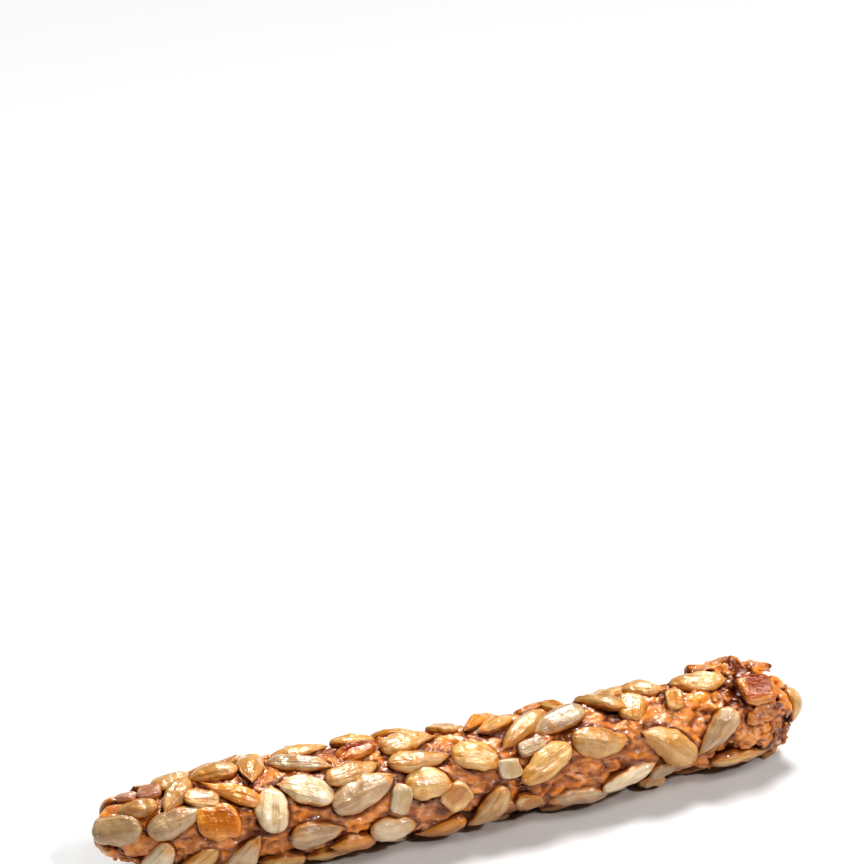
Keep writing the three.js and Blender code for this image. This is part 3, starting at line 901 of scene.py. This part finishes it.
def caramel_crust(name):
    """Mottled caramel over pinkish and pale dough, painted shade in the hollows, painted light on the
    crests, syrup and painted shade by the kernels, and an uneven glaze.
    """
    material, tree, output = new_material(name)
    place = add_node(tree, "ShaderNodeTexCoord", {}).outputs["Object"]
    drawn_out = add_node(
        tree, "ShaderNodeMapping", {"Vector": place, "Scale": (0.35, 1, 1)},
    ).outputs["Vector"]
    pattern = {}
    for label, vector, size_mm, detail, roughness, distortion in (
        ("patches", place, PATCH_SIZE, 4, 0.6, 0.6),
        ("flecks", place, FLECK_SIZE, 5, 0.65, 0),
        ("drips", drawn_out, DRIP_SIZE, 2, 0.5, 0.5),
        ("grit", place, GRIT_SIZE, 3, 0.6, 0),
    ):
        pattern[label] = add_node(
            tree, "ShaderNodeTexNoise",
            {
                "Vector": vector, "Scale": cells_per_metre(size_mm), "Detail": detail,
                "Roughness": roughness, "Distortion": distortion,
            },
        ).outputs["Fac"]
    rise = add_node(tree, "ShaderNodeAttribute", {}, attribute_name="rise").outputs["Fac"]
    near_kernel = add_node(tree, "ShaderNodeAttribute", {}, attribute_name="near_kernel").outputs["Fac"]
    colour = tinted(
        tree, CARAMEL,
        [
            (pattern["patches"], 0.43, 0.6, 1, THIN_CRUST),
            (pattern["flecks"], 0.5, 0.68, 0.6, FLOUR),
            # painted light on the crests, by how high the relief stands
            (rise, 0.08, 0.4, 0.75, CREST_LIGHT),
            # painted shade in the hollows, by how low the relief lies
            (rise, -0.02, -0.5, 0.95, HOLLOW_SHADE),
            # pooled syrup and painted contact shade round the kernels
            (near_kernel, 0.65, 1, 0.7, SYRUP_AND_CONTACT_SHADE),
        ],
    )

    roughness = add_node(
        tree, "ShaderNodeMapRange",
        {"Value": pattern["flecks"], "From Min": 0.35, "From Max": 0.65, "To Min": 0.24, "To Max": 0.55},
    ).outputs["Result"]
    glaze_bump = add_node(
        tree, "ShaderNodeBump", {"Height": pattern["drips"], "Strength": 1, "Distance": 0.6 * MM},
    ).outputs["Normal"]
    coarse_bump = add_node(
        tree, "ShaderNodeBump", {"Height": pattern["flecks"], "Strength": 1, "Distance": 0.3 * MM},
    ).outputs["Normal"]
    bump = add_node(
        tree, "ShaderNodeBump",
        {"Height": pattern["grit"], "Strength": 1, "Distance": 0.06 * MM, "Normal": coarse_bump},
    ).outputs["Normal"]
    shader = add_node(
        tree, "ShaderNodeBsdfPrincipled",
        {
            "Base Color": colour, "Roughness": roughness, "Specular IOR Level": 0.2, "Normal": bump,
            "Subsurface Weight": 0.08, "Subsurface Radius": (1, 0.45, 0.2), "Subsurface Scale": 0.6 * MM,
            "Coat Weight": 1, "Coat Roughness": 0.06, "Coat IOR": 1.6, "Coat Normal": glaze_bump,
        },
    )
    tree.links.new(shader.outputs["BSDF"], output.inputs["Surface"])
    return material


crust = caramel_crust("caramel_crust")
for each in (dough, shard_object, crumb_object):
    each.data.materials.append(crust)

# %% [markdown]
# A sunflower kernel is a dense, waxy seed. Raw, its skin is a grey cream; the oven takes it through tan
# and gold to amber. Four things make it read as a seed and not as a pebble: faint stripes along its
# length, rims and tips that are honey-coloured where syrup soaked in, with painted shade at the rim where
# it meets the dough, a glossy coat of syrup with a few tiny bubbles that carry painted glints, and a soft
# inner glow, because light enters it. Each tone is one material with four colours, the last for syrup
# that pooled on a broken face, and each kernel has its own mixture of them.

# %% Sunflower kernels
KERNEL_FINISHES = { # for each tone its slot, then its dark, middle, light and syrup colours
    "grey": ("grey_kernel", "#76583A", "#BC9876", "#DEC098", "#C8A880"),
    "tan": ("gold_kernel", "#8C5620", "#CE985A", "#E6C28A", "#BE8444"),
    "gold": ("gold_kernel", "#A06018", "#CE9848", "#E8C68A", "#C8862C"),
    "cream": ("pale_kernel", "#B08C60", "#DCC29A", "#F0E0C6", "#D8BC90"),
    "amber": ("toasted_kernel", "#96500E", "#D4842A", "#F0B05A", "#C87A20"),
    "red": ("toasted_kernel", "#7A340A", "#BC661E", "#E29C48", "#94420C"),
    "brown": ("toasted_kernel", "#A87058", "#CC9A80", "#E4B8A0", "#C08A6C"),
}
STRIPES_ROUND = 11
GRAIN_SIZE = 0.8 # of the finest mottling, in millimetres
BUBBLE_SPACING = 2 # between bubbles in the syrup, in millimetres
BUBBLE_SHARE = 0.1 # of that spacing is a bubble's radius
GOLDEN_GLAZE = "#DC9434"
# syrup stain with painted shade at the rim where a kernel meets the dough
DARK_SYRUP_AND_RIM_SHADE = "#8A4A10"
# painted glint: the pale colour laid on each bubble
PAINTED_GLINT_COLOUR = "#FFE9C8"


def glazed_kernel(name, dark, middle, light, syrup):
    """Tones mixed by mottling, stripes and each kernel's own shade, stained where syrup soaked in, with
    painted shade at the rim and painted glints on the bubbles.
    """
    material, tree, output = new_material(name)
    coordinates = add_node(tree, "ShaderNodeTexCoord", {})
    place = coordinates.outputs["Object"]
    shade, syrup_and_rim_shade, pooled = (
        add_node(tree, "ShaderNodeAttribute", {}, attribute_name=label).outputs["Fac"]
        for label in ("shade", "syrup_and_rim_shade", "pooled")
    )
    own = {}
    for label, stretch, scale, detail, roughness in (
        ("stripes", (STRIPES_ROUND, 1.2, 1), 1.6, 3, 0.55),
        ("mottle", (4, 1.6, 1), 1.5, 4, 0.6),
    ):
        stretched = add_node(
            tree, "ShaderNodeMapping", {"Vector": coordinates.outputs["UV"], "Scale": stretch},
        ).outputs["Vector"]
        own[label] = add_node(
            tree, "ShaderNodeTexNoise",
            {"Vector": stretched, "W": shade, "Scale": scale, "Detail": detail, "Roughness": roughness},
            noise_dimensions="4D",
        ).outputs["Fac"]
    grain = add_node(
        tree, "ShaderNodeTexNoise",
        {"Vector": place, "Scale": cells_per_metre(GRAIN_SIZE), "Detail": 3, "Roughness": 0.55},
    )
    bubbles = add_node(
        tree, "ShaderNodeTexVoronoi", {"Vector": place, "Scale": cells_per_metre(BUBBLE_SPACING)},
    )
    # bubble domes, raised by the coat's bump and painted pale as glints
    domes_and_glints = add_node(
        tree, "ShaderNodeMapRange",
        {"Value": bubbles.outputs["Distance"], "From Max": BUBBLE_SHARE, "To Min": 1, "To Max": 0},
        interpolation_type="SMOOTHSTEP",
    ).outputs["Result"]
    colour = tinted(
        tree, middle,
        [
            (own["mottle"], 0.4, 0.6, 1, light),
            (pooled, 0, 1, 1, syrup),
            (own["stripes"], 0.5, 0.75, 0.45, dark),
            (shade, 0, 1, 0.45, dark),
            (syrup_and_rim_shade, 0.1, 0.65, 0.75, GOLDEN_GLAZE),
            # syrup stain and painted shade at the rim
            (syrup_and_rim_shade, 0.6, 1, 0.9, DARK_SYRUP_AND_RIM_SHADE),
            # painted glints on the bubble domes
            (domes_and_glints, 0, 1, 1, PAINTED_GLINT_COLOUR),
        ],
    )

    roughness = add_node(
        tree, "ShaderNodeMapRange",
        {"Value": own["mottle"], "From Min": 0.3, "From Max": 0.7, "To Min": 0.24, "To Max": 0.42},
    ).outputs["Result"]
    ribs = add_node(
        tree, "ShaderNodeBump", {"Height": own["stripes"], "Strength": 1, "Distance": 0.3 * MM},
    ).outputs["Normal"]
    bump = add_node(
        tree, "ShaderNodeBump",
        {"Height": grain.outputs["Fac"], "Strength": 0.7, "Distance": 0.25 * MM, "Normal": ribs},
    ).outputs["Normal"]
    glaze = add_node(
        tree, "ShaderNodeBump", {"Height": domes_and_glints, "Strength": 1, "Distance": 0.12 * MM, "Normal": bump},
    ).outputs["Normal"]
    shader = add_node(
        tree, "ShaderNodeBsdfPrincipled",
        {
            "Base Color": colour, "Roughness": roughness, "Specular IOR Level": 0.4, "Normal": bump,
            "Subsurface Weight": 0.15, "Subsurface Radius": (1, 0.5, 0.2), "Subsurface Scale": 0.8 * MM,
            "Coat Weight": 1, "Coat Roughness": 0.05, "Coat IOR": 1.6, "Coat Normal": glaze,
        },
    )
    tree.links.new(shader.outputs["BSDF"], output.inputs["Surface"])
    return material


for tone, (slot, *colours) in KERNEL_FINISHES.items():
    seed_skin = glazed_kernel(f"glazed_{tone}_kernel", *colours)
    for made in (kernel_objects.get(tone), chip_objects.get(tone)):
        if made:
            made.data.materials.append(seed_skin)
print("kernel materials:", list(KERNEL_FINISHES))

# %% [markdown]
# The studio is a plain pale floor. One wide lamp stands far off, high up behind the stick and to its
# right, so that the floor burns out to white and a soft shadow falls towards the camera. Three small
# lamps in front fill the shaded side and give the syrup its glints. A ring of pale paper closes the
# floor off in low views. Only the camera sees it, so it neither lights the stick nor shows in the glaze.

# %% Floor and backdrop
FLOOR_SIZE = 3 # metres, as are the sizes below
FLOOR_DROP = 0.00005 # keeps the floor and the flats of the underside apart
FLOOR_COLOUR = "#D8D8D8"
BACKDROP_RADIUS = 1.4
BACKDROP_HEIGHT = 0.7
BACKDROP_SIDES = 64
BACKDROP_COLOUR = "#DADADA"


def studio_piece(name, points, faces, material):
    """A mesh straight from its points and faces."""
    mesh = bpy.data.meshes.new(name)
    mesh.from_pydata(points, [], faces)
    mesh.materials.append(material)
    made = bpy.data.objects.new(name, mesh)
    bpy.context.scene.collection.objects.link(made)
    return made


white, white_tree, white_output = new_material("white_sweep")
white_shader = add_node(
    white_tree, "ShaderNodeBsdfPrincipled",
    {"Base Color": FLOOR_COLOUR, "Roughness": 0.9, "Specular IOR Level": 0.1},
)
white_tree.links.new(white_shader.outputs["BSDF"], white_output.inputs["Surface"])
half = FLOOR_SIZE / 2
floor_corners = [(x * half, y * half, -FLOOR_DROP) for x, y in ((-1, -1), (1, -1), (1, 1), (-1, 1))]
floor = studio_piece("floor", floor_corners, [(0, 1, 2, 3)], white)

paper, paper_tree, paper_output = new_material("backdrop_paper")
paper_shader = add_node(paper_tree, "ShaderNodeEmission", {"Color": BACKDROP_COLOUR})
paper_tree.links.new(paper_shader.outputs["Emission"], paper_output.inputs["Surface"])
turns = np.linspace(0, 2 * np.pi, BACKDROP_SIDES, endpoint=False)
lower_ring = BACKDROP_RADIUS * np.stack([np.cos(turns), np.sin(turns), 0 * turns], axis=-1)
upper_ring = lower_ring + np.array([0, 0, BACKDROP_HEIGHT])
here = np.arange(BACKDROP_SIDES)
following = np.roll(here, -1)
walls = np.stack([here, following, following + BACKDROP_SIDES, here + BACKDROP_SIDES], axis=-1)
backdrop_points = np.concatenate([lower_ring, upper_ring])
backdrop = studio_piece("backdrop", backdrop_points.tolist(), walls.tolist(), paper)
for way in ("diffuse", "glossy", "transmission", "shadow"):
    setattr(backdrop, f"visible_{way}", False)
print("backdrop faces:", len(walls))

# %% [markdown]
# Lamps and camera are placed alike: an angle round the stick, an angle up, and a distance. The camera
# looks down at the stick from its front left, with the stick low in the frame, and a look with more
# contrast deepens the darks between the kernels.

# %% Lamps and camera
WORLD_STRENGTH = 0.05
CAMERA_LENS = 100
CAMERA_AZIMUTH = -20
CAMERA_ELEVATION = 26
CAMERA_AIM = (-0.00475, 0, 0.0645)
CAMERA_DISTANCE = 0.33


def placed(name, data, azimuth, elevation, distance, aim=(0, 0, 0)):
    """A lamp or camera that looks at its aim from the direction (sin a cos e, -cos a cos e, sin e)."""
    a, e = math.radians(azimuth), math.radians(elevation)
    away = Vector((math.sin(a) * math.cos(e), -math.cos(a) * math.cos(e), math.sin(e)))
    made = bpy.data.objects.new(name, data)
    made.location = Vector(aim) + away * distance
    made.rotation_euler = (-away).to_track_quat("-Z", "Y").to_euler()
    bpy.context.scene.collection.objects.link(made)
    return made


def high_light(name, azimuth, elevation, spread, strength):
    """A lamp so far off that it lights the whole floor alike, as wide in degrees as spread."""
    lamp = bpy.data.lights.new(name, "SUN")
    lamp.angle = math.radians(spread)
    lamp.energy = strength
    placed(name, lamp, azimuth, elevation, 1)


def soft_light(name, azimuth, elevation, distance, size, power):
    """A square lamp near the stick, in metres and watts."""
    lamp = bpy.data.lights.new(name, "AREA")
    lamp.size = size
    lamp.energy = power
    placed(name, lamp, azimuth, elevation, distance)


world = bpy.data.worlds.new("studio")
world.use_nodes = True
world.node_tree.nodes["Background"].inputs["Color"].default_value = (1, 1, 1, 1)
world.node_tree.nodes["Background"].inputs["Strength"].default_value = WORLD_STRENGTH
bpy.context.scene.world = world
high_light("overhead", azimuth=150, elevation=66, spread=21, strength=2.7)
soft_light("window", azimuth=5, elevation=62, distance=0.7, size=0.16, power=0.4)
soft_light("side_fill", azimuth=60, elevation=48, distance=0.8, size=0.2, power=1.2)
soft_light("glints", azimuth=20, elevation=46, distance=0.7, size=0.05, power=1.4)

lens = bpy.data.cameras.new("camera")
lens.lens = CAMERA_LENS
camera = placed("camera", lens, CAMERA_AZIMUTH, CAMERA_ELEVATION, CAMERA_DISTANCE, CAMERA_AIM)
bpy.context.scene.camera = camera
bpy.context.scene.view_settings.view_transform = "Standard"
bpy.context.scene.view_settings.look = "High Contrast"
print("camera at, mm:", [round(v / MM) for v in camera.location])
